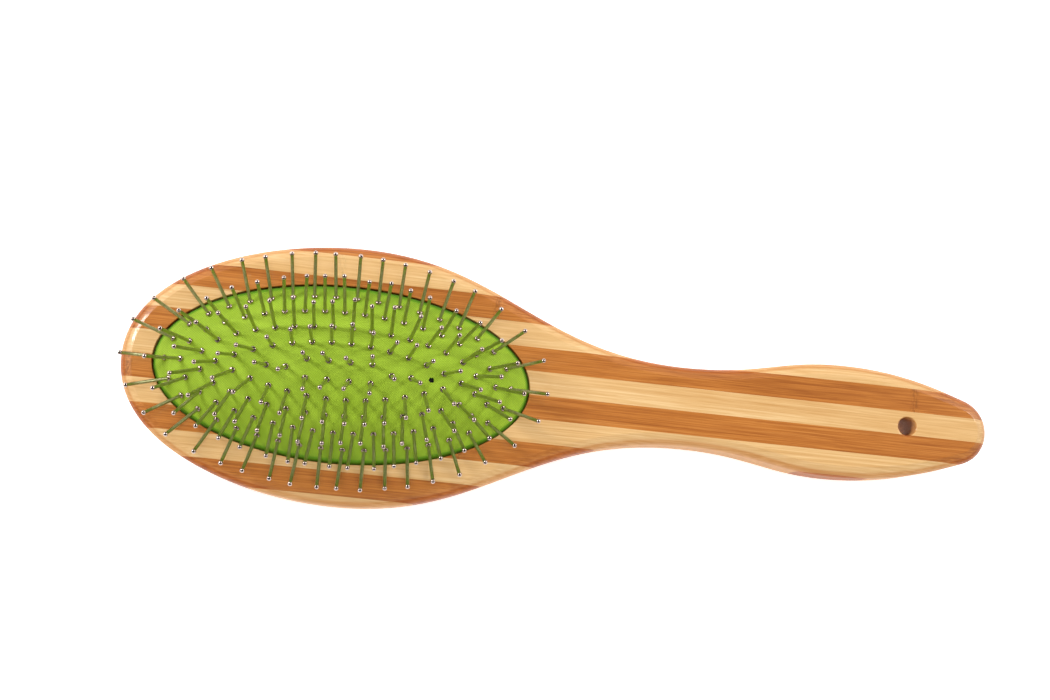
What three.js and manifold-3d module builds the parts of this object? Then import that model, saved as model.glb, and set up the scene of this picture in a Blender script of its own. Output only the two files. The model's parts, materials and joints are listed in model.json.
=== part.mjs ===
// Oval pin brush for pets: a laminated bamboo board, an air-sprung rubber cushion, and its pins.
// Millimetres. X runs from the head to the handle's end, Y across the board, Z up from its flat
// back. The origin is under the middle of the board.
import * as THREE from 'three';
import { mergeVertices } from 'three/addons/utils/BufferGeometryUtils.js';
import Module from 'manifold-3d';

const wasm = await Module();
wasm.setup();

// Board: its outline is a blunt half oval round the head, a waist at the neck, a swelling grip and
// a round end.
const boardLength = 232;
const boardThickness = 15;
const boardEdgeRadius = 2.8;
const headHalfLength = 59.4;
const headHalfWidth = 34.2;
const neckHalfWidth = 10.6;
const gripHalfWidth = 15.25;
const endRadius = 9.1;
const endTaper = THREE.MathUtils.degToRad(19.6);
const headX = headHalfLength - boardLength / 2;
const neckX = headX + 89.5;
const gripX = neckX + 42;
const endX = boardLength / 2 - endRadius;

// Strips: the board is sawn from a panel of glued bamboo strips that lie a little askew in it.
const stripCount = 12;
const stripPitch = 6.325;
const stripSkew = THREE.MathUtils.degToRad(-0.88);
const glueGap = 0.3;

// Hanging hole, through the grip's end.
const holeX = 93.3;
const holeRadius = 2.45;

// Cushion: an oval rubber dome faced with cloth. Its skirt drops into the board's pocket, where
// the bead round its foot snaps into an undercut.
const cushionX = headX - 2;
const cushionSemiX = 49.1;
const cushionSemiY = 23.35;
const crownHeight = 6.4;
const crownPower = 2.2;
const rimZ = 14.6;
const skirtFootZ = 10.1;
const beadTopZ = 12.5;
const beadReach = 1.4;
const rubberThickness = 1.6;
const fitGap = 0.3;
const domeSteps = 4;
const ovalSegments = 32;
const pocketFloorZ = 6;
const ventX = cushionX + 23.1;
const ventRadius = 0.6;

// Pins: each stands on a flat head under the rubber. Heads of one arc share a thin carrier.
const pinRadius = 0.45;
const pinTipRadius = 0.63;
const pinLength = 13.3;
const pinSides = 4;
const carrierThickness = 0.7;
const carrierGap = 0.45;
const carrierHalfWidth = 0.9;
const backingThickness = 0.8;
const backingGap = 0.6;
const pinFieldX = cushionX - 0.9;
// How far the pins splay. Along the brush a pin's lean grows with its distance from fanX, slowly at
// first and then with the distance's cube. Across the brush it grows evenly from fanY.
const splayStart = 0.2;
const splayGrowth = 0.9;
const leanScatter = 0.08;

// Rings of pins, from the rim inwards. phase shifts a ring along itself by part of a pitch, and
// roundness is 0.5 for an oval and 1 for a lens with pointed ends.
const rings = [
  { name: 'outer', pins: 38, semiX: 44.9, semiY: 19.75, phase: 0, roundness: 0.5,
    fan: { splayX: 1.35, splayY: 1.6, fanX: 2, fanY: 1.3 } },
  { name: 'second', pins: 36, semiX: 40.8, semiY: 15.65, phase: 0, roundness: 0.5,
    fan: { splayX: 1, splayY: 1.34, fanX: 0, fanY: 3.6 } },
  { name: 'third', pins: 32, semiX: 36.2, semiY: 11.4, phase: 0.5, roundness: 0.5,
    fan: { splayX: 1, splayY: 1.3, fanX: 0, fanY: 3.4 } },
  { name: 'fourth', pins: 26, semiX: 31.7, semiY: 7.4, phase: 0, roundness: 1,
    fan: { splayX: 1, splayY: 1.39, fanX: 0, fanY: 3.9 } },
];
const middleFan = { splayX: 1, splayY: 1.38, fanX: 0, fanY: 2.4 };
const quarters = ['handle_end', 'left_side', 'head_end', 'right_side'];
// Middle group: two rows of four, with two pins in line beyond each end.
const rowHalfGap = 2.45;
const rowXs = [8.4, 2.8, -2.8, -8.4];
const lineXs = [18.6, 13.6];

const lightBamboo = { color: 0xe3b878, roughness: 0.35, metalness: 0 };
const darkBamboo = { color: 0xb0703a, roughness: 0.35, metalness: 0 };
const greenCloth = { color: 0x7cb82a, roughness: 0.85, metalness: 0 };
const backingFibre = { color: 0x4a4a46, roughness: 0.9, metalness: 0 };
const pinSteel = { color: 0xb9bbb6, roughness: 0.25, metalness: 1 };

const brush = new THREE.Group();

function addNode(name, geometry, finish) {
  const mesh = new THREE.Mesh(geometry, new THREE.MeshStandardMaterial(finish));
  mesh.name = name;
  brush.add(mesh);
}

// A closed geometry as a solid that can be cut and joined.
function solidOf(geometry) {
  const bare = new THREE.BufferGeometry();
  const flat = geometry.index ? geometry.toNonIndexed() : geometry;
  bare.setAttribute('position', flat.getAttribute('position'));
  const merged = mergeVertices(bare, 1e-4);
  const triVerts = new Uint32Array(merged.index.array);
  const vertProperties = merged.attributes.position.array;
  return new wasm.Manifold(new wasm.Mesh({ numProp: 3, vertProperties, triVerts }));
}

function geometryOf(solid) {
  const mesh = solid.getMesh();
  const geometry = new THREE.BufferGeometry();
  geometry.setAttribute('position', new THREE.BufferAttribute(mesh.vertProperties, 3));
  geometry.setIndex(new THREE.BufferAttribute(mesh.triVerts, 1));
  geometry.computeVertexNormals();
  return geometry;
}

function boxBetween(low, high) {
  const size = high.clone().sub(low);
  const box = new THREE.BoxGeometry(size.x, size.y, size.z);
  box.translate((low.x + high.x) / 2, (low.y + high.y) / 2, (low.z + high.z) / 2);
  return box;
}

// --- Board ---------------------------------------------------------------------------------

function boardOutline() {
  const tangentX = endX + endRadius * Math.sin(endTaper);
  const tangentY = endRadius * Math.cos(endTaper);
  const tipX = headX - headHalfLength;
  const tipReach = 0.66 * headHalfWidth;
  const sideReach = 0.45 * headHalfLength;
  const headReach = 0.43 * (neckX - headX);
  const neckHeadReach = 0.455 * (neckX - headX);
  const neckGripReach = 0.48 * (gripX - neckX);
  const gripReach = 0.4 * (gripX - neckX);
  const gripRun = 15.5;
  const taperRun = 9;
  const taperY = tangentY + taperRun * Math.tan(endTaper);
  const outline = new THREE.Shape();
  outline.moveTo(headX, headHalfWidth);
  outline.bezierCurveTo(headX - sideReach, headHalfWidth, tipX, tipReach, tipX, 0);
  outline.bezierCurveTo(tipX, -tipReach, headX - sideReach, -headHalfWidth, headX, -headHalfWidth);
  outline.bezierCurveTo(headX + headReach, -headHalfWidth, neckX - neckHeadReach, -neckHalfWidth,
    neckX, -neckHalfWidth);
  outline.bezierCurveTo(neckX + neckGripReach, -neckHalfWidth, gripX - gripReach, -gripHalfWidth,
    gripX, -gripHalfWidth);
  outline.bezierCurveTo(gripX + gripRun, -gripHalfWidth, tangentX - taperRun, -taperY,
    tangentX, -tangentY);
  outline.absarc(endX, 0, endRadius, endTaper - Math.PI / 2, Math.PI / 2 - endTaper, false);
  outline.bezierCurveTo(tangentX - taperRun, taperY, gripX + gripRun, gripHalfWidth,
    gripX, gripHalfWidth);
  outline.bezierCurveTo(gripX - gripReach, gripHalfWidth, neckX + neckGripReach, neckHalfWidth,
    neckX, neckHalfWidth);
  outline.bezierCurveTo(neckX - neckHeadReach, neckHalfWidth, headX + headReach, headHalfWidth,
    headX, headHalfWidth);
  return outline;
}

function boardBlank() {
  const blank = new THREE.ExtrudeGeometry(boardOutline(), {
    depth: boardThickness - 2 * boardEdgeRadius,
    bevelThickness: boardEdgeRadius,
    bevelSize: boardEdgeRadius,
    bevelOffset: -boardEdgeRadius,
    bevelSegments: 2,
    curveSegments: 12,
  });
  blank.translate(0, 0, boardEdgeRadius);
  return solidOf(blank);
}

// A lathed form stretched into an oval round the cushion's centre. Each profile point is
// { rho, off, z }: rho times an oval that stands off outside the cushion's rim.
function ovalLathe(profile) {
  const points = profile.map((p) => new THREE.Vector2(p.rho * (cushionSemiY + p.off), p.z));
  const lathe = new THREE.LatheGeometry(points, ovalSegments);
  const position = lathe.getAttribute('position');
  for (let i = 0; i < position.count; i++) {
    const { rho, off, z } = profile[i % profile.length];
    // The last column of the lathe closes on the first.
    const column = Math.floor(i / profile.length) % ovalSegments;
    const turn = (2 * Math.PI * column) / ovalSegments;
    position.setXYZ(
      i,
      cushionX + rho * (cushionSemiX + off) * Math.cos(turn),
      rho * (cushionSemiY + off) * Math.sin(turn),
      z,
    );
  }
  return solidOf(lathe);
}

function pocketCut() {
  const wall = fitGap;
  const undercut = beadReach + fitGap;
  return ovalLathe([
    { rho: 0, off: wall, z: pocketFloorZ },
    { rho: 1, off: wall, z: pocketFloorZ },
    { rho: 1, off: wall, z: skirtFootZ - fitGap },
    { rho: 1, off: undercut, z: skirtFootZ - fitGap },
    { rho: 1, off: undercut, z: beadTopZ + fitGap },
    { rho: 1, off: wall, z: beadTopZ + fitGap },
    { rho: 1, off: wall, z: boardThickness + 1 },
    { rho: 0, off: wall, z: boardThickness + 1 },
  ]);
}

function hangingHoleCut() {
  const hole = new THREE.CylinderGeometry(holeRadius, holeRadius, 2 * boardThickness, 16);
  hole.rotateX(Math.PI / 2);
  hole.translate(holeX, 0, boardThickness / 2);
  return solidOf(hole);
}

// The slab of panel that strip number i of stripCount keeps, counted from the left edge (+Y).
function stripSlab(i) {
  const beyond = headHalfWidth;
  const middle = stripCount / 2;
  const left = i === 1 ? beyond + stripPitch : (middle - i + 1) * stripPitch - glueGap / 2;
  const right = i === stripCount ? -beyond - stripPitch : (middle - i) * stripPitch + glueGap / 2;
  const slab = boxBetween(
    new THREE.Vector3(-boardLength, right, -1),
    new THREE.Vector3(boardLength, left, boardThickness + 1),
  );
  slab.rotateZ(stripSkew);
  slab.translate(cushionX, 0, 0);
  return solidOf(slab);
}

function addStrips() {
  const board = boardBlank().subtract(pocketCut()).subtract(hangingHoleCut());
  for (let i = 1; i <= stripCount; i++) {
    // The waist cuts some strips in two: one piece in the head, one in the grip.
    const pieces = board.intersect(stripSlab(i)).decompose();
    pieces.sort((a, b) => a.boundingBox().min[0] - b.boundingBox().min[0]);
    const finish = i % 2 === 1 ? darkBamboo : lightBamboo;
    const number = String(i).padStart(2, '0');
    pieces.forEach((piece, k) => {
      const place = k === 0 ? '' : '_grip';
      addNode(`bamboo_strip_${number}${place}`, geometryOf(piece), finish);
    });
  }
}

// --- Pins ----------------------------------------------------------------------------------

// Height over (x, y) of a dome whose rim stands off outside the cushion's and drop below it.
function domeZ(x, y, off, drop) {
  const rho = Math.hypot((x - cushionX) / (cushionSemiX + off), y / (cushionSemiY + off));
  return rimZ + crownHeight * (1 - Math.min(rho, 1) ** crownPower) - drop;
}

// A repeatable number from -1 to 1 for pin number index.
function scatter(index, salt) {
  const wave = Math.sin(index * 12.9898 + salt * 78.233) * 43758.5453;
  return 2 * (wave - Math.floor(wave)) - 1;
}

// Points spaced evenly along a ring, counter-clockwise from the handle's end.
function ringPoints(ring) {
  const steps = 720;
  const path = [];
  for (let k = 0; k <= steps; k++) {
    const angle = (2 * Math.PI * k) / steps;
    const x = ring.semiX * Math.cos(angle);
    const reach = Math.max(0, 1 - (x / ring.semiX) ** 2) ** ring.roundness;
    path.push(new THREE.Vector2(x, ring.semiY * reach * Math.sign(Math.sin(angle))));
  }
  const run = [0];
  for (let k = 1; k <= steps; k++) run.push(run[k - 1] + path[k].distanceTo(path[k - 1]));
  const points = [];
  for (let i = 0; i < ring.pins; i++) {
    const target = ((i + ring.phase) * run[steps]) / ring.pins;
    let k = 1;
    while (run[k] < target) k++;
    const share = (target - run[k - 1]) / (run[k] - run[k - 1]);
    points.push(path[k - 1].clone().lerp(path[k], share));
  }
  return points;
}

// A pin's root on the cushion's face, and the direction in which it stands.
function makePin(point, index, fan) {
  const root = new THREE.Vector3(pinFieldX + point.x, point.y, 0);
  root.z = domeZ(root.x, root.y, 0, 0);
  const share = (point.x - fan.fanX) / cushionSemiX;
  const splay = splayStart * share + splayGrowth * share ** 3;
  const leanX = fan.splayX * splay + leanScatter * scatter(index, 1);
  const leanY = (fan.splayY * (root.y - fan.fanY)) / cushionSemiY + leanScatter * scatter(index, 2);
  const direction = new THREE.Vector3(leanX, leanY, 1).normalize();
  return { root, direction };
}

// Top of the carrier that lies close under the rubber.
function carrierTopZ(x, y) {
  return domeZ(x, y, -rubberThickness, rubberThickness + carrierGap);
}

// The point inside the carrier from which a pin rises.
function pinFoot(pin) {
  const foot = pin.root.clone();
  for (let k = 0; k < 8; k++) {
    const depth = pin.root.z - (carrierTopZ(foot.x, foot.y) - carrierThickness / 2);
    foot.copy(pin.root).addScaledVector(pin.direction, -depth / pin.direction.z);
  }
  return foot;
}

function standAlong(geometry, pin) {
  const turn = new THREE.Quaternion().setFromUnitVectors(new THREE.Vector3(0, 0, 1), pin.direction);
  geometry.applyQuaternion(turn);
}

function pinSolid(pin) {
  const foot = pinFoot(pin);
  const top = pinLength + foot.distanceTo(pin.root);
  const ballZ = top - pinTipRadius;
  const lathe = new THREE.LatheGeometry([
    new THREE.Vector2(0, 0),
    new THREE.Vector2(pinRadius, 0),
    new THREE.Vector2(pinRadius, ballZ - 0.8 * pinTipRadius),
    new THREE.Vector2(pinTipRadius, ballZ),
    new THREE.Vector2(0.5 * pinTipRadius, top),
    new THREE.Vector2(0, top),
  ], pinSides);
  lathe.rotateX(Math.PI / 2);
  standAlong(lathe, pin);
  lathe.translate(foot.x, foot.y, foot.z);
  return solidOf(lathe);
}

// A flat strap through the feet of one arc's pins, bent to follow the crown.
function carrierSolid(feet) {
  const left = [];
  const right = [];
  feet.forEach((foot, i) => {
    const before = feet[Math.max(i - 1, 0)];
    const after = feet[Math.min(i + 1, feet.length - 1)];
    const along = new THREE.Vector2(after.x - before.x, after.y - before.y).normalize();
    const overhang = (i === feet.length - 1) - (i === 0);
    const middle = new THREE.Vector2(foot.x, foot.y);
    middle.addScaledVector(along, overhang * carrierHalfWidth);
    const across = new THREE.Vector2(-along.y, along.x).multiplyScalar(carrierHalfWidth);
    left.push(middle.clone().add(across));
    right.unshift(middle.clone().sub(across));
  });
  const strap = new THREE.ExtrudeGeometry(new THREE.Shape([...right, ...left].reverse()), {
    depth: carrierThickness,
    bevelEnabled: false,
  });
  const position = strap.getAttribute('position');
  for (let i = 0; i < position.count; i++) {
    const top = carrierTopZ(position.getX(i), position.getY(i));
    position.setZ(i, position.getZ(i) + top - carrierThickness);
  }
  return solidOf(strap);
}

function addPinArc(name, pins) {
  const carrier = carrierSolid(pins.map(pinFoot));
  const arc = pins.reduce((joined, pin) => joined.add(pinSolid(pin)), carrier);
  addNode(name, geometryOf(arc), pinSteel);
}

function addPins() {
  const allPins = [];
  const pinsAt = (points, fan) => points.map((point) => {
    const pin = makePin(point, allPins.length, fan);
    allPins.push(pin);
    return pin;
  });
  for (const ring of rings) {
    const pins = pinsAt(ringPoints(ring), ring.fan);
    // Each quarter of the ring, centred on an end or a side, is one arc.
    const arcs = quarters.map(() => []);
    pins.forEach((pin, i) => {
      const quarter = Math.floor((4 * (i + ring.phase)) / ring.pins + 0.5) % 4;
      arcs[quarter].push(pin);
    });
    // The first arc straddles the start of the ring: its last pins come before its first.
    const split = arcs[0].findIndex((pin, i) => i > 0 && pin.root.y < 0 && arcs[0][i - 1].root.y >= 0);
    arcs[0] = [...arcs[0].slice(split), ...arcs[0].slice(0, split)];
    quarters.forEach((place, q) => addPinArc(`${ring.name}_pins_${place}`, arcs[q]));
  }
  const leftRow = [
    ...lineXs.map((x) => new THREE.Vector2(x, 0)),
    ...rowXs.map((x) => new THREE.Vector2(x, rowHalfGap)),
    ...lineXs.map((x) => new THREE.Vector2(-x, 0)).reverse(),
  ];
  const rightRow = rowXs.map((x) => new THREE.Vector2(x, -rowHalfGap));
  addPinArc('centre_pins_left_row', pinsAt(leftRow, middleFan));
  addPinArc('centre_pins_right_row', pinsAt(rightRow, middleFan));
  return allPins;
}

// --- Cushion and backing --------------------------------------------------------------------

// Profile points of a dome from its centre to its rim, lowered by drop.
function domeProfile(off, drop) {
  const profile = [];
  for (let k = 0; k <= domeSteps; k++) {
    const rho = k / domeSteps;
    profile.push({ rho, off, z: rimZ + crownHeight * (1 - rho ** crownPower) - drop });
  }
  return profile;
}

function pinHoleCut(pin) {
  const side = 2 * (pinRadius + fitGap);
  const length = 4 * rubberThickness;
  const cut = new THREE.BoxGeometry(side, side, length);
  cut.translate(0, 0, -rubberThickness / 2);
  standAlong(cut, pin);
  cut.translate(pin.root.x, pin.root.y, pin.root.z);
  return solidOf(cut);
}

function addCushion(pins) {
  const outer = domeProfile(0, 0).reverse();
  const inner = domeProfile(-rubberThickness, rubberThickness);
  const shell = ovalLathe([
    ...inner,
    { rho: 1, off: -rubberThickness, z: skirtFootZ },
    { rho: 1, off: beadReach, z: skirtFootZ },
    { rho: 1, off: beadReach, z: beadTopZ },
    { rho: 1, off: 0, z: beadTopZ },
    ...outer,
  ]);
  const vent = new THREE.CylinderGeometry(ventRadius, ventRadius, 6 * rubberThickness, 6);
  vent.rotateX(Math.PI / 2);
  vent.translate(ventX, 0, domeZ(ventX, 0, 0, 0));
  const cuts = pins.map(pinHoleCut);
  cuts.push(solidOf(vent));
  const cushion = cuts.reduce((left, cut) => left.subtract(cut), shell);
  addNode('cushion', geometryOf(cushion), greenCloth);
}

// A fibre sheet under the carriers keeps the heads from backing out of the rubber.
function addBacking() {
  const inset = -rubberThickness - 2 * fitGap;
  const drop = rubberThickness + carrierGap + carrierThickness + backingGap;
  const upper = domeProfile(inset, drop).reverse();
  const lower = domeProfile(inset, drop + backingThickness);
  addNode('backing_sheet', geometryOf(ovalLathe([...lower, ...upper])), backingFibre);
}

addStrips();
const allPins = addPins();
addCushion(allPins);
addBacking();

export default brush;
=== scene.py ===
import json
import math
import random

import bmesh
import bpy
from mathutils import Matrix, Vector


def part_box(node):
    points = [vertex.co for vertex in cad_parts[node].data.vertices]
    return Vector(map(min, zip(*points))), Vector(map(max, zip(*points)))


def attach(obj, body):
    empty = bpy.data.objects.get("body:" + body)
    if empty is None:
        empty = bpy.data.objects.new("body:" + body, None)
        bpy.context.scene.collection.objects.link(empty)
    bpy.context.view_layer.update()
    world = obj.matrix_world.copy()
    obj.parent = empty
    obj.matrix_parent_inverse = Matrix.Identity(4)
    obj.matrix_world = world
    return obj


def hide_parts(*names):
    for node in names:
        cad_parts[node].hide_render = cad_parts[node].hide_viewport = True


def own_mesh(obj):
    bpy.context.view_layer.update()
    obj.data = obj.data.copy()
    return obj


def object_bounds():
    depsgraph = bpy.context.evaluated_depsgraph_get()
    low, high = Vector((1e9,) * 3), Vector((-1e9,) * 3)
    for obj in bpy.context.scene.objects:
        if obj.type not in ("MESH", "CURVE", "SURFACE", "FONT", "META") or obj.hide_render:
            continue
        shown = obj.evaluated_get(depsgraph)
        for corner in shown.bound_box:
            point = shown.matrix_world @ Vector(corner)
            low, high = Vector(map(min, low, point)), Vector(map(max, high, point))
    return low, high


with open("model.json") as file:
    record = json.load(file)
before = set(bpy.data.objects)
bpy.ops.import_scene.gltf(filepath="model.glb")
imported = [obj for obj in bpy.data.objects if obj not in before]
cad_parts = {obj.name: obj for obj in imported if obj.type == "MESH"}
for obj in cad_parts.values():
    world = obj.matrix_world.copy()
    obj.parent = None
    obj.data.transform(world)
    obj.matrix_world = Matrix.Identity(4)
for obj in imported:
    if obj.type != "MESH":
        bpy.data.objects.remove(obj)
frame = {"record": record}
cad_low, cad_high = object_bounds()

MM = 0.001

# ---------------------------------------------------------------------------
# Dimensions in metres. The pieces' sizes repeat the CAD model's, whose box gives the length.
# ---------------------------------------------------------------------------
BOARD_LENGTH = cad_high.x - cad_low.x
BOARD_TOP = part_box("bamboo_strip_06")[1].z
EDGE_RADIUS = 2.8 * MM
HEAD_HALF_LENGTH = 59.4 * MM
HEAD_HALF_WIDTH = 34.2 * MM
NECK_HALF_WIDTH = 10.6 * MM
GRIP_HALF_WIDTH = 15.25 * MM
END_RADIUS = 9.1 * MM
END_TAPER = math.radians(19.6)
HEAD_X = HEAD_HALF_LENGTH - BOARD_LENGTH / 2
NECK_X = HEAD_X + 89.5 * MM
GRIP_X = NECK_X + 42 * MM
END_X = BOARD_LENGTH / 2 - END_RADIUS
# Lengths of the handles of the outline's curves.
TIP_REACH_X = 0.45 * HEAD_HALF_LENGTH
TIP_REACH_Y = 0.66 * HEAD_HALF_WIDTH
HEAD_REACH = 0.43 * (NECK_X - HEAD_X)
NECK_HEAD_REACH = 0.455 * (NECK_X - HEAD_X)
NECK_GRIP_REACH = 0.48 * (GRIP_X - NECK_X)
GRIP_REACH = 0.4 * (GRIP_X - NECK_X)
GRIP_END_REACH = 15.5 * MM
TAPER_RUN = 9 * MM
# Points on each curve of the outline.
TIP_STEPS = 70
SIDE_STEPS = 56
END_STEPS = 48

STRIP_COUNT = 12
STRIP_PITCH = 6.325 * MM
STRIP_SKEW = math.radians(-0.88)

HOLE_X = 93.3 * MM
HOLE_RADIUS = 2.45 * MM
HOLE_LIP = 0.45 * MM
HOLE_SEGMENTS = 64
LIP_STEPS = 7
# The sanded edge leaves the face over a tight bend, then rolls round to the wall.
EDGE_BREAK = math.radians(38)
BEND_RADIUS = 0.45 * MM
BEND_STEPS = 6
ROLL_STEPS = 9
EDGE_LAP = 0.5 * MM

CUSHION_X = HEAD_X - 2 * MM
CUSHION_SEMI_X = 49.1 * MM
CUSHION_SEMI_Y = 23.35 * MM
CROWN_HEIGHT = 6.4 * MM
CROWN_POWER = 2.2
RIM_Z = 14.6 * MM
SKIRT_FOOT_Z = 10.1 * MM
BEAD_TOP_Z = 12.5 * MM
BEAD_REACH = 1.4 * MM
RUBBER = 1.6 * MM
FIT_GAP = 0.3 * MM
POCKET_GAP = 0.08 * MM
POCKET_FLOOR_Z = 6 * MM
POCKET_LIP = 0.2 * MM
SHOULDER = 1.3 * MM
SHOULDER_DROP = 1.5 * MM
SKIRT_SEAM = 0.05 * MM
VENT_X = CUSHION_X + 23.1 * MM
VENT_RADIUS = 0.68 * MM
VENT_RAGGEDNESS = 0.22
DIMPLE_DEPTH = 0.16 * MM
DIMPLE_RADIUS = 0.9 * MM
DIMPLE_REACH = 4 * MM
OVAL_SEGMENTS = 220
POCKET_SEGMENTS = 200
BACKING_SEGMENTS = 96

PIN_RADIUS = 0.45 * MM
PIN_TIP_RADIUS = 0.63 * MM
PIN_LENGTH = 13.3 * MM
COLLAR_RADIUS = 0.85 * MM
COLLAR_HALF_HEIGHT = 0.42 * MM
COLLAR_LIFT = 0.15 * MM
HEAD_RADIUS = 0.95 * MM
CARRIER_THICKNESS = 0.7 * MM
CARRIER_GAP = 0.45 * MM
BACKING_GAP = 0.6 * MM
BACKING_THICKNESS = 0.8 * MM
PIN_FIELD_X = CUSHION_X - 0.9 * MM
SPLAY_START = 0.2
SPLAY_GROWTH = 0.9
LEAN_SCATTER = 0.08
PIN_SEGMENTS = 14

# (name, pins, semi X, semi Y, phase, roundness), from the rim inwards.
RINGS = (
    ("outer", 38, 44.9 * MM, 19.75 * MM, 0.0, 0.5),
    ("second", 36, 40.8 * MM, 15.65 * MM, 0.0, 0.5),
    ("third", 32, 36.2 * MM, 11.4 * MM, 0.5, 0.5),
    ("fourth", 26, 31.7 * MM, 7.4 * MM, 0.0, 1.0),
)
# How each group fans out: (splay along the brush, splay across it, X and Y of the fan's middle).
FANS = {
    "outer": (1.35, 1.6, 2 * MM, 1.3 * MM),
    "second": (1, 1.34, 0, 3.6 * MM),
    "third": (1, 1.3, 0, 3.4 * MM),
    "fourth": (1, 1.39, 0, 3.9 * MM),
    "centre": (1, 1.38, 0, 2.4 * MM),
}
QUARTERS = ("handle_end", "left_side", "head_end", "right_side")
ROW_HALF_GAP = 2.45 * MM
ROW_XS = (8.4 * MM, 2.8 * MM, -2.8 * MM, -8.4 * MM)
LINE_XS = (18.6 * MM, 13.6 * MM)

SMOOTH_ANGLE = math.radians(20)
ROUND_ANGLE = math.radians(50)


# ---------------------------------------------------------------------------
# Mesh helpers
# ---------------------------------------------------------------------------
def body_of_node(node):
    for body, members in frame["record"]["behaviour"]["bodies"].items():
        if node in members:
            return body
    raise ValueError(node)


def link(name, mesh, material=None):
    obj = bpy.data.objects.new(name, mesh)
    bpy.context.scene.collection.objects.link(obj)
    if material:
        mesh.materials.append(material)
    return obj


def shade(mesh, angle=SMOOTH_ANGLE):
    """Smooth faces, with the edges that turn by more than angle kept crisp."""
    bm = bmesh.new()
    bm.from_mesh(mesh)
    for face in bm.faces:
        face.smooth = True
    for edge in bm.edges:
        turns = edge.calc_face_angle(math.pi) > angle
        edge.smooth = not turns
    bm.to_mesh(mesh)
    bm.free()


def mesh_from(name, verts, faces):
    mesh = bpy.data.meshes.new(name)
    mesh.from_pydata([tuple(v) for v in verts], [], faces)
    bm = bmesh.new()
    bm.from_mesh(mesh)
    bmesh.ops.recalc_face_normals(bm, faces=bm.faces)
    bm.to_mesh(mesh)
    bm.free()
    return mesh


def loft(rings, ends="cap"):
    """Vertices and faces of equal rings joined in turn: ends are capped, joined up or left open."""
    count = len(rings[0])
    verts = [point for ring in rings for point in ring]
    faces = []
    for k in range(len(rings) - 1):
        for i in range(count):
            j = (i + 1) % count
            low = k * count
            high = low + count
            faces.append((low + i, low + j, high + j, high + i))
    last = (len(rings) - 1) * count
    if ends == "cap":
        faces.append(tuple(reversed(range(count))))
        faces.append(tuple(last + i for i in range(count)))
    if ends == "join":
        for i in range(count):
            j = (i + 1) % count
            faces.append((last + i, last + j, j, i))
    return verts, faces


def cut_away(obj, cutter):
    """Takes the cutter's volume out of obj for good, and removes the cutter."""
    modifier = obj.modifiers.new("cut", "BOOLEAN")
    modifier.operation = "DIFFERENCE"
    modifier.solver = "EXACT"
    modifier.object = cutter
    bpy.context.view_layer.update()
    graph = bpy.context.evaluated_depsgraph_get()
    cut = bpy.data.meshes.new_from_object(obj.evaluated_get(graph))
    obj.modifiers.clear()
    obj.data = cut
    bpy.data.objects.remove(cutter)


def add_weighted_normals(obj):
    modifier = obj.modifiers.new("flat_faces", "WEIGHTED_NORMAL")
    modifier.keep_sharp = True
    modifier.weight = 80


# ---------------------------------------------------------------------------
# Node helpers
# ---------------------------------------------------------------------------
class Nodes:
    """A short way to write a material's node tree."""

    def __init__(self, name):
        self.material = bpy.data.materials.new(name)
        self.material.use_nodes = True
        self.tree = self.material.node_tree
        self.shader = self.tree.nodes["Principled BSDF"]

    def add(self, kind, inputs=None, **settings):
        node = self.tree.nodes.new(kind)
        for key, value in settings.items():
            setattr(node, key, value)
        for key, value in (inputs or {}).items():
            self.put(node.inputs[key], value)
        return node

    def put(self, socket, value):
        if isinstance(value, bpy.types.NodeSocket):
            self.tree.links.new(value, socket)
        else:
            socket.default_value = value

    def math(self, operation, a, b=0.0, c=0.0, clamp=False):
        node = self.add("ShaderNodeMath", operation=operation, use_clamp=clamp)
        for socket, value in zip(node.inputs, (a, b, c)):
            self.put(socket, value)
        return node.outputs[0]

    def fade(self, value, start, end):
        """0 before start and 1 past end, which may lie on either side of start."""
        slope = 1 / (end - start)
        return self.math("MULTIPLY_ADD", value, slope, -start * slope, clamp=True)

    def ramp(self, factor, stops):
        node = self.add("ShaderNodeValToRGB")
        self.put(node.inputs[0], factor)
        elements = node.color_ramp.elements
        while len(elements) < len(stops):
            elements.new(0.5)
        for element, (position, colour) in zip(elements, stops):
            element.position = position
            element.color = (*colour, 1.0)
        return node.outputs[0]

    def mix(self, factor, a, b, blend="MIX"):
        node = self.add("ShaderNodeMix", data_type="RGBA", blend_type=blend)
        self.put(node.inputs[0], factor)
        self.put(node.inputs[6], a if not isinstance(a, tuple) else (*a, 1.0))
        self.put(node.inputs[7], b if not isinstance(b, tuple) else (*b, 1.0))
        return node.outputs[2]

    def noise(self, vector, scale, detail=3.0, roughness=0.5, distortion=0.0):
        node = self.add("ShaderNodeTexNoise")
        self.put(node.inputs["Vector"], vector)
        node.inputs["Scale"].default_value = scale
        node.inputs["Detail"].default_value = detail
        node.inputs["Roughness"].default_value = roughness
        node.inputs["Distortion"].default_value = distortion
        return node.outputs[0]

    def place(self, vector, location=(0, 0, 0), rotation=(0, 0, 0), scale=(1, 1, 1)):
        node = self.add("ShaderNodeMapping")
        self.put(node.inputs["Vector"], vector)
        node.inputs["Location"].default_value = location
        node.inputs["Rotation"].default_value = rotation
        node.inputs["Scale"].default_value = scale
        return node.outputs[0]

    def height_of_normal(self):
        """Z of the surface's normal: 1 facing up, 0 on an upright wall."""
        normal = self.add("ShaderNodeTexCoord").outputs["Normal"]
        return self.add("ShaderNodeSeparateXYZ", {"Vector": normal}).outputs[2]

    def set(self, **values):
        for key, value in values.items():
            self.put(self.shader.inputs[key.replace("_", " ")], value)


def grey(value):
    return (value, value, value)


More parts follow.
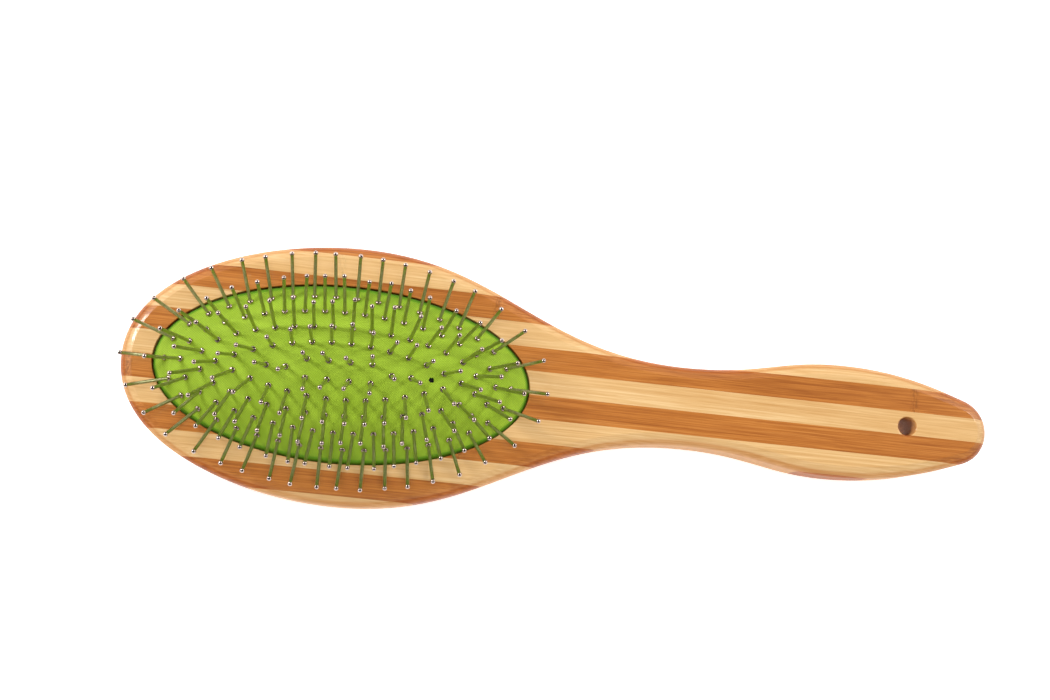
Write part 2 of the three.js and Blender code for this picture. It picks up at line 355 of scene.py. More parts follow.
# ---------------------------------------------------------------------------
# Materials
# ---------------------------------------------------------------------------
LIGHT = {
    "deep": (0.635, 0.360, 0.132),
    "base": (0.730, 0.452, 0.190),
    "pale": (0.810, 0.556, 0.275),
    "streak": (0.900, 0.820, 0.700),
}
DARK = {
    "deep": (0.340, 0.100, 0.013),
    "base": (0.500, 0.170, 0.026),
    "pale": (0.620, 0.245, 0.050),
    "streak": (0.760, 0.660, 0.560),
}
# Painted shade multiplied into the bamboo's sanded edge, and into the cloth's rim where it turns down
# into the pocket.
EDGE_SHADE = (0.840, 0.670, 0.540)
CLOTH_RIM_SHADE = (0.380, 0.640, 0.300)
CLOTH_PITCH = 0.46 * MM
# Noise cells per metre along, across and through a strip.
BROAD_SCALE = (11, 230, 120)
FIBRE_SCALE = (26, 1900, 950)
HAIR_SCALE = (70, 4200, 2100)
BUNDLE_SCALE = (210, 2900, 1500)
# Z of the normal at which the bamboo's sanded edge ends and its flat face begins.
SANDED_LEVEL = 0.80625
FACE_LEVEL = 0.86875
# Z of the normal at which the cloth's painted shade begins, and where it is darkest.
CLOTH_TURNING = 28 / 30
CLOTH_TURNED = 23 / 30
# Where a joint of the bamboo cane shows on a strip: strip number and X.
CANE_JOINTS = {2: -62 * MM, 3: -20 * MM, 5: 95 * MM, 7: -113.5 * MM, 9: -26 * MM}
JOINT_WANDER = 1.2 * MM
JOINT_REACH = 1.5 * MM
JOINT_ON_DARK = 0.75
JOINT_ON_LIGHT = 0.35


def cane_joint(n, grain, x):
    """Strength of the short crosswise marks that a joint of the cane leaves round x."""
    axes = n.add("ShaderNodeSeparateXYZ", {"Vector": grain})
    wander = n.noise(n.place(grain, scale=(20, 420, 200)), 1.0)
    drift = n.math("MULTIPLY_ADD", wander, JOINT_WANDER, -JOINT_WANDER / 2)
    away = n.math("ADD", n.math("SUBTRACT", axes.outputs[0], x), drift)
    share = n.math("DIVIDE", n.math("ABSOLUTE", away), JOINT_REACH)
    band = n.math("SUBTRACT", 1.0, share, clamp=True)
    marks = n.noise(n.place(grain, scale=(2400, 900, 900)), 1.0, 2.0, 0.6)
    return n.math("MULTIPLY", band, n.fade(marks, 13 / 30, 18 / 30))


def bamboo_material(number, tones):
    """One strip's bamboo: long fibres along the strip, short dark bundles, and lacquer."""
    n = Nodes(f"bamboo_{number:02d}")
    rng = random.Random(100 + number)
    where = n.add("ShaderNodeTexCoord").outputs["Object"]
    along = n.place(where, rotation=(0, 0, -STRIP_SKEW))
    grain = n.place(
        along,
        location=(rng.uniform(-1, 1), rng.uniform(-1, 1), rng.uniform(-1, 1)),
        rotation=(0, rng.uniform(-0.02, 0.02), rng.uniform(-0.012, 0.012)),
    )
    broad = n.noise(n.place(grain, scale=BROAD_SCALE), 1.0, 2.0, 0.5)
    fibre = n.noise(n.place(grain, scale=FIBRE_SCALE), 1.0, 4.0, 0.6)
    hair = n.noise(n.place(grain, scale=HAIR_SCALE), 1.0, 3.0, 0.6)
    bundles = n.noise(n.place(grain, scale=BUNDLE_SCALE), 1.0, 2.0, 0.5)
    tone = n.math("MULTIPLY_ADD", broad, 0.30, n.math("MULTIPLY", fibre, 0.70))
    colour = n.ramp(
        tone, [(0.32, tones["deep"]), (0.48, tones["base"]), (0.64, tones["pale"])]
    )
    streak = n.ramp(hair, [(0.40, tones["streak"]), (0.55, grey(1.0))])
    colour = n.mix(0.8, colour, streak, "MULTIPLY")
    dash = n.ramp(bundles, [(0.60, grey(0.0)), (0.70, grey(1.0))])
    colour = n.mix(n.math("MULTIPLY", dash, 0.40), colour, tones["deep"])
    if number in CANE_JOINTS:
        joint = cane_joint(n, along, CANE_JOINTS[number])
        dark = tuple(0.55 * c for c in tones["deep"])
        strength = JOINT_ON_DARK if tones is DARK else JOINT_ON_LIGHT
        colour = n.mix(n.math("MULTIPLY", joint, strength), colour, dark)
    bump = n.add("ShaderNodeBump", {"Strength": 0.22, "Distance": 0.00004})
    n.put(bump.inputs["Height"], n.math("ADD", fibre, hair))
    # Painted shade makes the sanded edge browner and darker; it is also duller than the face, and the
    # lacquer thins down the walls.
    level = n.math("ABSOLUTE", n.height_of_normal())
    flat = n.fade(level, SANDED_LEVEL, FACE_LEVEL)
    colour = n.mix(flat, n.mix(1.0, colour, EDGE_SHADE, "MULTIPLY"), colour)
    n.set(
        Base_Color=colour,
        Roughness=n.math("MULTIPLY_ADD", fibre, 0.20, 0.30),
        Normal=bump.outputs[0],
        Specular_IOR_Level=n.math("MULTIPLY_ADD", flat, 0.37, 0.08),
        Coat_Weight=n.math("MULTIPLY_ADD", level, 0.62, 0.02),
        Coat_Roughness=0.08,
        Coat_IOR=1.5,
    )
    return n.material


def cushion_material():
    """Lime cloth with a fine diagonal weave, and painted shade where it turns down into the pocket."""
    n = Nodes("green_cloth")
    where = n.add("ShaderNodeTexCoord").outputs["Object"]
    turned = n.place(where, rotation=(0, 0, math.radians(38)))
    axes = n.add("ShaderNodeSeparateXYZ", {"Vector": turned})
    wobble = n.noise(where, 400.0, 2.0)
    waves = []
    for axis in (0, 1):
        shift = n.math("MULTIPLY", wobble, 1.5)
        run = n.math("MULTIPLY_ADD", axes.outputs[axis], 2 * math.pi / CLOTH_PITCH, shift)
        waves.append(n.math("MULTIPLY_ADD", n.math("SINE", run), 0.5, 0.5))
    weave = n.math("MULTIPLY", waves[0], waves[1])
    weave = n.math("POWER", weave, 0.6)
    blotch = n.noise(where, 120.0, 3.0, 0.55)
    base = n.ramp(blotch, [(0.3, (0.350, 0.530, 0.020)), (0.7, (0.410, 0.600, 0.034))])
    valley = n.mix(0.46, base, (0.12, 0.22, 0.012))
    colour = n.mix(weave, valley, base)
    # Painted shade where the cloth turns down into the pocket.
    rim_shade = n.fade(n.height_of_normal(), CLOTH_TURNING, CLOTH_TURNED)
    colour = n.mix(rim_shade, colour, n.mix(1.0, colour, CLOTH_RIM_SHADE, "MULTIPLY"))
    bump = n.add("ShaderNodeBump", {"Strength": 0.6, "Distance": 0.00006})
    n.put(bump.inputs["Height"], weave)
    n.set(
        Base_Color=colour,
        Roughness=n.math("MULTIPLY_ADD", weave, -0.10, 0.74),
        Normal=bump.outputs[0],
        Specular_IOR_Level=0.35,
        Sheen_Weight=0.06,
        Sheen_Roughness=0.4,
    )
    return n.material


def wire_material(name, dull, bright, roughness):
    """Plated steel with faint drawing marks."""
    n = Nodes(name)
    where = n.add("ShaderNodeTexCoord").outputs["Object"]
    marks = n.noise(where, 1800.0, 2.0)
    colour = n.ramp(marks, [(0.3, dull), (0.7, bright)])
    n.set(
        Base_Color=colour,
        Metallic=1.0,
        Roughness=n.math("MULTIPLY_ADD", marks, 0.10, roughness),
    )
    return n.material


def backing_material():
    n = Nodes("backing_fibre")
    where = n.add("ShaderNodeTexCoord").outputs["Object"]
    felt = n.noise(where, 2200.0, 4.0, 0.7)
    colour = n.ramp(felt, [(0.3, (0.03, 0.03, 0.028)), (0.7, (0.10, 0.10, 0.09))])
    bump = n.add("ShaderNodeBump", {"Strength": 0.4, "Distance": 0.0001})
    n.put(bump.inputs["Height"], felt)
    n.set(Base_Color=colour, Roughness=0.95, Normal=bump.outputs[0])
    return n.material


# ---------------------------------------------------------------------------
# Board
# ---------------------------------------------------------------------------
def bezier(a, b, c, d, steps):
    """Points of a cubic curve from a up to, but not with, d."""
    points = []
    for k in range(steps):
        t = k / steps
        s = 1 - t
        near = Vector(a) * s**3 + Vector(b) * 3 * s * s * t
        points.append(near + Vector(c) * 3 * s * t * t + Vector(d) * t**3)
    return points


def half_outline():
    """The curves of the board's far side: round the head to its tip, then along to the grip's end."""
    tangent_x = END_X + END_RADIUS * math.sin(END_TAPER)
    tangent_y = END_RADIUS * math.cos(END_TAPER)
    taper_y = tangent_y + TAPER_RUN * math.tan(END_TAPER)
    tip_x = HEAD_X - HEAD_HALF_LENGTH
    head = (HEAD_X, HEAD_HALF_WIDTH)
    neck = (NECK_X, NECK_HALF_WIDTH)
    grip = (GRIP_X, GRIP_HALF_WIDTH)
    tip = (head, (HEAD_X - TIP_REACH_X, HEAD_HALF_WIDTH), (tip_x, TIP_REACH_Y), (tip_x, 0))
    to_neck = (
        head,
        (HEAD_X + HEAD_REACH, HEAD_HALF_WIDTH),
        (NECK_X - NECK_HEAD_REACH, NECK_HALF_WIDTH),
        neck,
    )
    to_grip = (
        neck,
        (NECK_X + NECK_GRIP_REACH, NECK_HALF_WIDTH),
        (GRIP_X - GRIP_REACH, GRIP_HALF_WIDTH),
        grip,
    )
    to_end = (
        grip,
        (GRIP_X + GRIP_END_REACH, GRIP_HALF_WIDTH),
        (tangent_x - TAPER_RUN, taper_y),
        (tangent_x, tangent_y),
    )
    return tip, (to_neck, to_grip, to_end)


def mirrored(curve):
    """The same curve on the board's near side."""
    return [(x, -y) for x, y in curve]


def board_outline():
    """The board's outline, counter-clockwise seen from above."""
    tip, side = half_outline()
    points = bezier(*tip, TIP_STEPS)
    points += bezier(*mirrored(reversed(tip)), TIP_STEPS)
    for curve in side:
        points += bezier(*mirrored(curve), SIDE_STEPS)
    half_turn = math.pi / 2 - END_TAPER
    for k in range(END_STEPS):
        angle = -half_turn + 2 * half_turn * k / END_STEPS
        points.append(Vector((END_X + END_RADIUS * math.cos(angle), END_RADIUS * math.sin(angle))))
    for curve in reversed(side):
        points += bezier(*reversed(curve), SIDE_STEPS)
    return points


def outward(points):
    """Unit normals of a closed counter-clockwise outline."""
    count = len(points)
    normals = []
    for i in range(count):
        along = points[(i + 1) % count] - points[i - 1]
        normals.append(Vector((along.y, -along.x)).normalized())
    return normals


def edge_profile():
    """(inset, depth) of the sanded edge, from the face down to the wall."""
    break_sin = math.sin(EDGE_BREAK)
    break_cos = math.cos(EDGE_BREAK)
    edge = [(EDGE_RADIUS + EDGE_LAP, 0.0)]
    for k in range(BEND_STEPS):
        angle = EDGE_BREAK * k / BEND_STEPS
        inset = EDGE_RADIUS + BEND_RADIUS * (break_sin - math.sin(angle))
        edge.append((inset, BEND_RADIUS * (1 - math.cos(angle))))
    bend_depth = BEND_RADIUS * (1 - break_cos)
    roll_depth = EDGE_RADIUS - bend_depth
    for k in range(ROLL_STEPS + 1):
        angle = EDGE_BREAK + (math.pi / 2 - EDGE_BREAK) * k / ROLL_STEPS
        inset = EDGE_RADIUS * (1 - math.sin(angle)) / (1 - break_sin)
        edge.append((inset, bend_depth + roll_depth * (break_cos - math.cos(angle)) / break_cos))
    return edge


def board_blank():
    """The whole board without its pocket and hole."""
    outline = board_outline()
    normals = outward(outline)
    edge = edge_profile()
    profile = edge + [(inset, BOARD_TOP - z) for inset, z in reversed(edge)]
    rings = []
    for inset, z in profile:
        rings.append(
            [Vector((p.x - nrm.x * inset, p.y - nrm.y * inset, z)) for p, nrm in zip(outline, normals)]
        )
    return link("board_blank", mesh_from("board_blank", *loft(rings)))


def oval_ring(rho, off, z, segments):
    """Points round the cushion's centre: rho times an oval that stands off outside its rim."""
    ring = []
    for i in range(segments):
        angle = 2 * math.pi * i / segments
        x = CUSHION_X + rho * (CUSHION_SEMI_X + off) * math.cos(angle)
        y = rho * (CUSHION_SEMI_Y + off) * math.sin(angle)
        ring.append(Vector((x, y, z(x, y) if callable(z) else z)))
    return ring


def pocket_cutter():
    """The pocket's space, with the undercut for the bead and a small lip at its mouth."""
    wall = POCKET_GAP
    undercut = BEAD_REACH + FIT_GAP
    profile = [
        (wall, POCKET_FLOOR_Z),
        (wall, SKIRT_FOOT_Z - FIT_GAP),
        (undercut, SKIRT_FOOT_Z - FIT_GAP),
        (undercut, BEAD_TOP_Z + FIT_GAP),
        (wall, BEAD_TOP_Z + FIT_GAP),
    ]
    for k in range(LIP_STEPS + 1):
        angle = math.pi / 2 * k / LIP_STEPS
        lift = POCKET_LIP * math.sin(angle)
        profile.append((wall + POCKET_LIP * (1 - math.cos(angle)), BOARD_TOP - POCKET_LIP + lift))
    profile.append((wall + POCKET_LIP, BOARD_TOP + MM))
    rings = [oval_ring(1, off, z, POCKET_SEGMENTS) for off, z in profile]
    return link("pocket_cutter", mesh_from("pocket_cutter", *loft(rings)))


def circle(radius, z, segments, x=0.0):
    """Points of a level circle round (x, 0)."""
    angles = [2 * math.pi * i / segments for i in range(segments)]
    return [Vector((x + radius * math.cos(a), radius * math.sin(a), z)) for a in angles]


def hole_cutter():
    """A round drill with a lip that eases both mouths of the hole."""
    half = []
    for k in range(LIP_STEPS + 1):
        angle = math.pi / 2 * k / LIP_STEPS
        radius = HOLE_RADIUS + HOLE_LIP * (1 - math.cos(angle))
        half.append((radius, HOLE_LIP * (1 - math.sin(angle))))
    profile = [(HOLE_RADIUS + HOLE_LIP, -MM)]
    profile += [(r, z) for r, z in reversed(half)]
    profile += [(r, BOARD_TOP - z) for r, z in half]
    profile.append((HOLE_RADIUS + HOLE_LIP, BOARD_TOP + MM))
    rings = [circle(radius, z, HOLE_SEGMENTS, HOLE_X) for radius, z in profile]
    return link("hole_cutter", mesh_from("hole_cutter", *loft(rings)))


def keep_side(bm, y, keep_above):
    """Cuts bm with the skewed plane between two strips and closes the cut."""
    turn = Matrix.Rotation(STRIP_SKEW, 3, "Z")
    point = Vector((CUSHION_X, 0, 0)) + turn @ Vector((0, y, 0))
    normal = turn @ Vector((0, -1 if keep_above else 1, 0))
    geometry = bm.verts[:] + bm.edges[:] + bm.faces[:]
    bmesh.ops.bisect_plane(
        bm, geom=geometry, dist=1e-7, plane_co=point, plane_no=normal, clear_outer=True
    )
    open_edges = [e for e in bm.edges if e.is_boundary]
    bmesh.ops.holes_fill(bm, edges=open_edges, sides=0)


def loose_parts(bm):
    """The vertices of each connected part, from the head to the grip."""
    parts = []
    left = set(bm.verts)
    while left:
        stack = [left.pop()]
        part = set(stack)
        while stack:
            for edge in stack.pop().link_edges:
                for vert in edge.verts:
                    if vert in left:
                        left.discard(vert)
                        part.add(vert)
                        stack.append(vert)
        parts.append(part)
    return sorted(parts, key=lambda part: min(v.co.x for v in part))


def cut_strip(board, number):
    """The board's slice between the two glue planes of strip number."""
    middle = STRIP_COUNT / 2
    bm = bmesh.new()
    bm.from_mesh(board.data)
    if number > 1:
        keep_side(bm, (middle - number + 1) * STRIP_PITCH, False)
    if number < STRIP_COUNT:
        keep_side(bm, (middle - number) * STRIP_PITCH, True)
    return bm


def add_strip_piece(bm, part, node, material):
    """Adds one connected part of a strip as a piece of its own."""
    piece = bm.copy()
    piece.verts.ensure_lookup_table()
    bm.verts.index_update()
    keep = {v.index for v in part}
    drop = [v for v in piece.verts if v.index not in keep]
    bmesh.ops.delete(piece, geom=drop, context="VERTS")
    mesh = bpy.data.meshes.new(node + "_wood")
    piece.to_mesh(mesh)
    piece.free()
    shade(mesh)
    obj = link(node + "_wood", mesh, material)
    add_weighted_normals(obj)
    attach(obj, body_of_node(node))
    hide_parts(node)


def add_strips():
    board = board_blank()
    cut_away(board, pocket_cutter())
    cut_away(board, hole_cutter())
    for number in range(1, STRIP_COUNT + 1):
        is_dark = number % 2 == 1
        material = bamboo_material(number, DARK if is_dark else LIGHT)
        bm = cut_strip(board, number)
        for k, part in enumerate(loose_parts(bm)):
            node = f"bamboo_strip_{number:02d}" + ("_grip" if k else "")
            add_strip_piece(bm, part, node, material)
        bm.free()
    bpy.data.objects.remove(board)


# ---------------------------------------------------------------------------
# Pins
# ---------------------------------------------------------------------------
def dome_z(x, y, off=0.0, drop=0.0):
    """Height of a dome whose rim stands off outside the cushion's and drop below it."""
    rho = math.hypot((x - CUSHION_X) / (CUSHION_SEMI_X + off), y / (CUSHION_SEMI_Y + off))
    return RIM_Z + CROWN_HEIGHT * (1 - min(rho, 1.0) ** CROWN_POWER) - drop


def scatter(index, salt):
    """A repeatable number from -1 to 1 for pin number index."""
    wave = math.sin(index * 12.9898 + salt * 78.233) * 43758.5453
    return 2 * (wave - math.floor(wave)) - 1


def ring_points(pins, semi_x, semi_y, phase, roundness):
    """Points spaced evenly along a ring, counter-clockwise from the handle's end."""
    steps = 720
    path = []
    for k in range(steps + 1):
        angle = 2 * math.pi * k / steps
        x = semi_x * math.cos(angle)
        reach = max(0.0, 1 - (x / semi_x) ** 2) ** roundness
        sign = (math.sin(angle) > 0) - (math.sin(angle) < 0)
        path.append(Vector((x, semi_y * reach * sign)))
    run = [0.0]
    for k in range(1, steps + 1):
        run.append(run[-1] + (path[k] - path[k - 1]).length)
    points = []
    k = 1
    for i in range(pins):
        target = (i + phase) * run[-1] / pins
        while run[k] < target:
            k += 1
        share = (target - run[k - 1]) / (run[k] - run[k - 1])
        points.append(path[k - 1].lerp(path[k], share))
    return points


def make_pin(point, index, fan):
    """A pin's root on the cushion's face, its direction, and its foot under the rubber."""
    splay_x, splay_y, fan_x, fan_y = FANS[fan]
    x, y = PIN_FIELD_X + point.x, point.y
    root = Vector((x, y, dome_z(x, y)))
    share = (point.x - fan_x) / CUSHION_SEMI_X
    splay = SPLAY_START * share + SPLAY_GROWTH * share**3
    lean_x = splay_x * splay + LEAN_SCATTER * scatter(index, 1)
    lean_y = splay_y * (y - fan_y) / CUSHION_SEMI_Y + LEAN_SCATTER * scatter(index, 2)
    direction = Vector((lean_x, lean_y, 1)).normalized()
    foot = root.copy()
    for _ in range(8):
        level = dome_z(foot.x, foot.y, -RUBBER, RUBBER + CARRIER_GAP) - CARRIER_THICKNESS / 2
        foot = root - direction * ((root.z - level) / direction.z)
    return {"root": root, "direction": direction, "foot": foot}


def all_pins():
    """The pins of each CAD arc, by the arc's node name."""
    arcs = {}
    index = 0
    for name, count, semi_x, semi_y, phase, roundness in RINGS:
        for i, point in enumerate(ring_points(count, semi_x, semi_y, phase, roundness)):
            quarter = int(4 * (i + phase) / count + 0.5) % 4
            node = f"{name}_pins_{QUARTERS[quarter]}"
            arcs.setdefault(node, []).append(make_pin(point, index, name))
            index += 1
    rows = {
        "centre_pins_left_row": [(x, 0) for x in LINE_XS]
        + [(x, ROW_HALF_GAP) for x in ROW_XS]
        + [(-x, 0) for x in reversed(LINE_XS)],
        "centre_pins_right_row": [(x, -ROW_HALF_GAP) for x in ROW_XS],
    }
    for node, points in rows.items():
        for point in points:
            arcs.setdefault(node, []).append(make_pin(Vector(point), index, "centre"))
            index += 1
    return arcs


def close_poles(verts, faces, rings, segments, first_pole, last_pole):
    """Closes an open loft with a fan of triangles to a pole at each end."""
    first = len(verts)
    last = len(verts) + 1
    verts += [first_pole, last_pole]
    last_ring = (rings - 1) * segments
    for i in range(segments):
        j = (i + 1) % segments
        faces.append((j, i, first))
        faces.append((last_ring + i, last_ring + j, last))


def turned(profile, segments):
    """A lathe form about Z through points (radius, z) that start and end on the axis."""
    rings = [circle(radius, z, segments) for radius, z in profile[1:-1]]
    verts, faces = loft(rings, ends="open")
    foot = Vector((0, 0, profile[0][1]))
    top = Vector((0, 0, profile[-1][1]))
    close_poles(verts, faces, len(rings), segments, foot, top)
    return verts, faces


def arc_profile(centre_z, radius, start, end, steps):
    """Points (radius, z) of a ball's side between two angles above its equator."""
    points = []
    for k in range(steps + 1):
        angle = start + (end - start) * k / steps
        points.append((radius * math.cos(angle), centre_z + radius * math.sin(angle)))
    return points


def wire_profile(top):
    """Profile of a pin, from its flat head to its ball tip."""
    half = CARRIER_THICKNESS / 2
    bevel_radius = 0.9 * HEAD_RADIUS
    profile = [
        (0, -half),
        (bevel_radius, -half),
        (HEAD_RADIUS, -half / 2),
        (HEAD_RADIUS, half / 2),
        (bevel_radius, half),
        (PIN_RADIUS, half),
    ]
    ball_z = top - PIN_TIP_RADIUS
    meets = math.acos(PIN_RADIUS / PIN_TIP_RADIUS)
    steps = 4
    for k in range(1, steps):
        profile.append((PIN_RADIUS, half + (ball_z - CARRIER_THICKNESS) * k / steps))
    profile += arc_profile(ball_z, PIN_TIP_RADIUS, -meets, math.pi / 2, 10)
    profile[-1] = (0, top)
    return profile


def collar_profile(root_z):
    """Profile of the collar at a pin's root: a bead round the wire."""
    middle_z = root_z + COLLAR_LIFT
    profile = [(0, middle_z - COLLAR_HALF_HEIGHT)]
    steps = 8
    for k in range(steps + 1):
        angle = -math.pi / 2 + math.pi * k / steps
        radius = COLLAR_RADIUS - COLLAR_HALF_HEIGHT + COLLAR_HALF_HEIGHT * math.cos(angle)
        profile.append((radius, middle_z + COLLAR_HALF_HEIGHT * math.sin(angle)))
    profile.append((0, middle_z + COLLAR_HALF_HEIGHT))
    return profile


def pin_shapes(pin):
    """Vertices, faces and each face's polish, of the pin's wire and of its collar."""
    turn = Vector((0, 0, 1)).rotation_difference(pin["direction"])
    root_z = (pin["root"] - pin["foot"]).length
    top = root_z + PIN_LENGTH
    ball_from = top - 2 * PIN_TIP_RADIUS
    shapes = []
    wire, sides = turned(wire_profile(top), PIN_SEGMENTS)
    on_ball = [min(wire[i].z for i in side) > ball_from for side in sides]
    shapes.append(([pin["foot"] + turn @ v for v in wire], sides, on_ball))
    collar, sides = turned(collar_profile(root_z), PIN_SEGMENTS)
    shapes.append(([pin["foot"] + turn @ v for v in collar], sides, [True] * len(sides)))
    return shapes


def add_pins(arcs, shank, polished):
    """One piece for the pins of each arc: dull shanks, polished balls and collars."""
    for node, pins in arcs.items():
        verts = []
        faces = []
        bright = []
        for pin in pins:
            for shape, sides, polish in pin_shapes(pin):
                start = len(verts)
                verts += shape
                faces += [tuple(start + i for i in side) for side in sides]
                bright += polish
        mesh = mesh_from(node + "_wire", verts, faces)
        shade(mesh, ROUND_ANGLE)
        obj = link(node + "_wire", mesh, shank)
        mesh.materials.append(polished)
        mesh.polygons.foreach_set("material_index", [int(b) for b in bright])
        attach(obj, body_of_node(node))
        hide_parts(node)


# ---------------------------------------------------------------------------
# Cushion and backing
# ---------------------------------------------------------------------------
def dimpled_height(x, y, roots):
    """Height of the cushion's face, which each pin draws down a little at its root."""
    z = dome_z(x, y)
    for root in roots:
        away = (root.x - x) ** 2 + (root.y - y) ** 2
        if away < DIMPLE_REACH ** 2:
            z -= DIMPLE_DEPTH * math.exp(-away / DIMPLE_RADIUS ** 2)
    return z


def face_rings(roots):
    """Rings of the cushion's face, from the middle out to the shoulder."""
    rows = 64
    inner_x = CUSHION_SEMI_X - SHOULDER
    inner_y = CUSHION_SEMI_Y - SHOULDER
    rings = []
    for k in range(1, rows + 1):
        rho = k / rows
        ring = []
        for i in range(OVAL_SEGMENTS):
            angle = 2 * math.pi * i / OVAL_SEGMENTS
            x = CUSHION_X + rho * inner_x * math.cos(angle)
            y = rho * inner_y * math.sin(angle)
            ring.append(Vector((x, y, dimpled_height(x, y, roots))))
        rings.append(ring)
    return rings


def shoulder_rings():
    """Rings of the shoulder, which rolls over from the face to the pocket's wall."""
    steps = 8
    rings = []
    for k in range(1, steps + 1):
        roll = math.pi / 2 * k / steps
        off = SHOULDER * (math.sin(roll) - 1)
        drop = SHOULDER_DROP * (1 - math.cos(roll))
        rings.append(oval_ring(1, off, lambda x, y: dome_z(x, y) - drop, OVAL_SEGMENTS))
    return rings


def under_height(x, y):
    """Height of the rubber's underside."""
    return dome_z(x, y, -RUBBER, RUBBER)


def under_rings():
    """Rings of the underside, from the rim back to the middle."""
    rows = 16
    rings = [oval_ring(1, -RUBBER, RIM_Z - RUBBER, OVAL_SEGMENTS)]
    for k in range(rows - 1, 0, -1):
        rings.append(oval_ring(k / rows, -RUBBER, under_height, OVAL_SEGMENTS))
    return rings


def add_cushion(arcs, material):
    """A tight air cushion: a crowned shell with a rolled shoulder, dimpled at each pin."""
    roots = [pin["root"] for pins in arcs.values() for pin in pins]
    rings = face_rings(roots) + shoulder_rings() + under_rings()
    verts, faces = loft(rings, ends="open")
    top = Vector((CUSHION_X, 0, dimpled_height(CUSHION_X, 0, roots)))
    under = Vector((CUSHION_X, 0, under_height(CUSHION_X, 0)))
    close_poles(verts, faces, len(rings), OVAL_SEGMENTS, top, under)
    obj = link("cushion_cloth", mesh_from("cushion_cloth", verts, faces), material)
    cut_away(obj, vent_cutter())
    shade(obj.data, ROUND_ANGLE)
    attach(obj, body_of_node("cushion"))
    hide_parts("cushion")
    flatten(obj)


def add_skirt(material):
    """The cushion's skirt and the bead that holds it in the pocket; they stay put when pressed."""
    profile = (
        (0, RIM_Z - SHOULDER_DROP - SKIRT_SEAM),
        (0, BEAD_TOP_Z),
        (BEAD_REACH, BEAD_TOP_Z),
        (BEAD_REACH, SKIRT_FOOT_Z),
        (-RUBBER, SKIRT_FOOT_Z),
        (-RUBBER, RIM_Z - RUBBER - SKIRT_SEAM),
    )
    rings = [oval_ring(1, off, z, OVAL_SEGMENTS) for off, z in profile]
    obj = link("cushion_skirt", mesh_from("cushion_skirt", *loft(rings, ends="join")), material)
    shade(obj.data, ROUND_ANGLE)
    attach(obj, body_of_node("cushion"))


def vent_cutter():
    """A punched hole with a slightly ragged edge."""
    segments = 18
    rings = []
    for z in (RIM_Z, RIM_Z + 2 * CROWN_HEIGHT):
        ring = []
        for i in range(segments):
            angle = 2 * math.pi * i / segments
            radius = VENT_RADIUS * (1 + VENT_RAGGEDNESS * scatter(i, 5))
            ring.append(Vector((VENT_X + radius * math.cos(angle), radius * math.sin(angle), z)))
        rings.append(ring)
    return link("vent_cutter", mesh_from("vent_cutter", *loft(rings)))


def flatten(obj):
    """Gives obj a mesh of its own."""
    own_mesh(obj)


def add_backing(material):
    """The fibre sheet under the pins' heads: a thin dome that follows the rubber's."""
    inset = -RUBBER - 2 * FIT_GAP
    drop = RUBBER + CARRIER_GAP + CARRIER_THICKNESS + BACKING_GAP
    rows = 16
    shares = [k / rows for k in range(1, rows + 1)]

    def top_height(x, y):
        return dome_z(x, y, inset, drop)

    def under_side(x, y):
        return dome_z(x, y, inset, drop + BACKING_THICKNESS)

    rings = [oval_ring(share, inset, top_height, BACKING_SEGMENTS) for share in shares]
    rings += [oval_ring(share, inset, under_side, BACKING_SEGMENTS) for share in reversed(shares)]
    obj = link("backing_sheet_fibre", mesh_from("backing_sheet_fibre", *loft(rings)), material)
    shade(obj.data, ROUND_ANGLE)
    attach(obj, body_of_node("backing_sheet"))
    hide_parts("backing_sheet")
    flatten(obj)


# ---------------------------------------------------------------------------
# Studio
# ---------------------------------------------------------------------------
FLOOR_HALF = 8.0
FLOOR_DROP = 0.05 * MM
FLOOR_GLOW = 0.66
# The world's brightness low down and overhead, and the heights between which it falls.
SWEEP_GLOW = 0.54
CEILING_GLOW = 0.08
SWEEP_TOP = 0.30
CEILING_FROM = 0.75
LIGHT_TARGET = (-0.02, 0, 0)
# Softboxes: name, place, size, watts, and whether they show in reflections. Those that do stand
# too low for the camera to see them mirrored in the flat top.
SOFTBOXES = (
    ("left_softbox", (-0.78, 0.34, 0.62), (0.26, 0.36), 7.0, True),
    ("right_softbox", (0.78, 0.46, 0.60), (0.26, 0.36), 5.2, True),
    ("back_softbox", (-0.05, 0.92, 0.62), (0.80, 0.40), 1.3, False),
    ("front_softbox", (0.05, -0.92, 0.55), (0.80, 0.40), 2.4, False),
    ("top_softbox", (0, 0, 1.0), (0.50, 0.40), 3.4, False),
)
CAMERA_SENSOR = 36
CAMERA_LENS = 50.18
CAMERA_PLACE = (CUSHION_X + 14.06 * MM, -47.16 * MM, BOARD_TOP + 381.7 * MM)
CAMERA_TURN = (math.radians(8.19), math.radians(-5.62), math.radians(4.64))


def floor_material():
    """White paper that glows a little, so that it stays white under the soft light."""
    n = Nodes("floor_paper")
    where = n.add("ShaderNodeTexCoord").outputs["Object"]
    tooth = n.noise(where, 900.0, 2.0)
    colour = n.ramp(tooth, [(0.3, grey(0.93)), (0.7, grey(0.95))])
    n.set(Base_Color=colour, Roughness=0.9, Emission_Color=colour, Emission_Strength=FLOOR_GLOW)
    return n.material


def add_floor():
    half = FLOOR_HALF
    verts = [(-half, -half, 0), (half, -half, 0), (half, half, 0), (-half, half, 0)]
    floor = link("floor", mesh_from("floor", verts, [(0, 1, 2, 3)]), floor_material())
    floor.location.z = -FLOOR_DROP


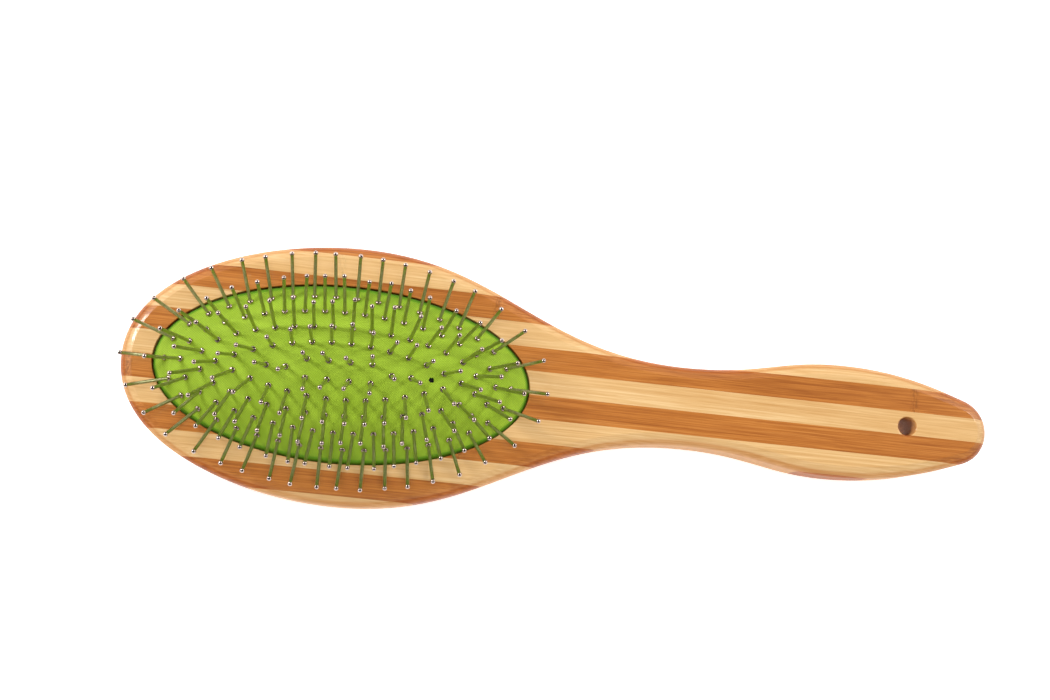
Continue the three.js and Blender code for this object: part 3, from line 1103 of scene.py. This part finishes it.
def add_area_light(name, location, size, power, mirrored_in_gloss):
    data = bpy.data.lights.new(name, "AREA")
    data.shape = "RECTANGLE"
    data.size = size[0]
    data.size_y = size[1]
    data.energy = power
    lamp = bpy.data.objects.new(name, data)
    lamp.location = location
    lamp.visible_glossy = mirrored_in_gloss
    aim = Vector(LIGHT_TARGET) - Vector(location)
    lamp.rotation_euler = aim.to_track_quat("-Z", "Y").to_euler()
    bpy.context.scene.collection.objects.link(lamp)


def add_world():
    """A white sweep stands all round the table, under a dark ceiling."""
    world = bpy.data.worlds.new("studio")
    bpy.context.scene.world = world
    world.use_nodes = True
    nodes = world.node_tree.nodes
    links = world.node_tree.links
    where = nodes.new("ShaderNodeTexCoord")
    axes = nodes.new("ShaderNodeSeparateXYZ")
    sweep = nodes.new("ShaderNodeMapRange")
    sweep.interpolation_type = "SMOOTHSTEP"
    sweep.inputs["From Min"].default_value = SWEEP_TOP
    sweep.inputs["From Max"].default_value = CEILING_FROM
    sweep.inputs["To Min"].default_value = SWEEP_GLOW
    sweep.inputs["To Max"].default_value = CEILING_GLOW
    background = nodes["Background"]
    background.inputs["Color"].default_value = (1.0, 0.99, 0.98, 1.0)
    links.new(where.outputs["Generated"], axes.inputs[0])
    links.new(axes.outputs["Z"], sweep.inputs["Value"])
    links.new(sweep.outputs["Result"], background.inputs["Strength"])


def add_camera():
    """The camera looks almost straight down on the brush, from its near side."""
    data = bpy.data.cameras.new("camera")
    data.sensor_width = CAMERA_SENSOR
    data.lens = CAMERA_LENS
    data.clip_end = 20
    camera = bpy.data.objects.new("camera", data)
    camera.location = CAMERA_PLACE
    camera.rotation_euler = CAMERA_TURN
    bpy.context.scene.collection.objects.link(camera)
    bpy.context.scene.camera = camera


# ---------------------------------------------------------------------------
# The scene
# ---------------------------------------------------------------------------
scene = bpy.context.scene
scene.view_settings.view_transform = "Standard"
scene.view_settings.exposure = 0.0

add_camera()
add_world()
for softbox in SOFTBOXES:
    add_area_light(*softbox)
add_floor()
add_strips()
PIN_ARCS = all_pins()
# The shanks' olive tint is a painted reflection of the green cloth, on top of what the metal mirrors.
add_pins(
    PIN_ARCS,
    wire_material("pin_shank", (0.40, 0.41, 0.21), (0.53, 0.53, 0.30), 0.26),
    wire_material("pin_polish", (0.45, 0.35, 0.31), (0.56, 0.45, 0.40), 0.04),
)
CLOTH = cushion_material()
add_cushion(PIN_ARCS, CLOTH)
add_skirt(CLOTH)
add_backing(backing_material())
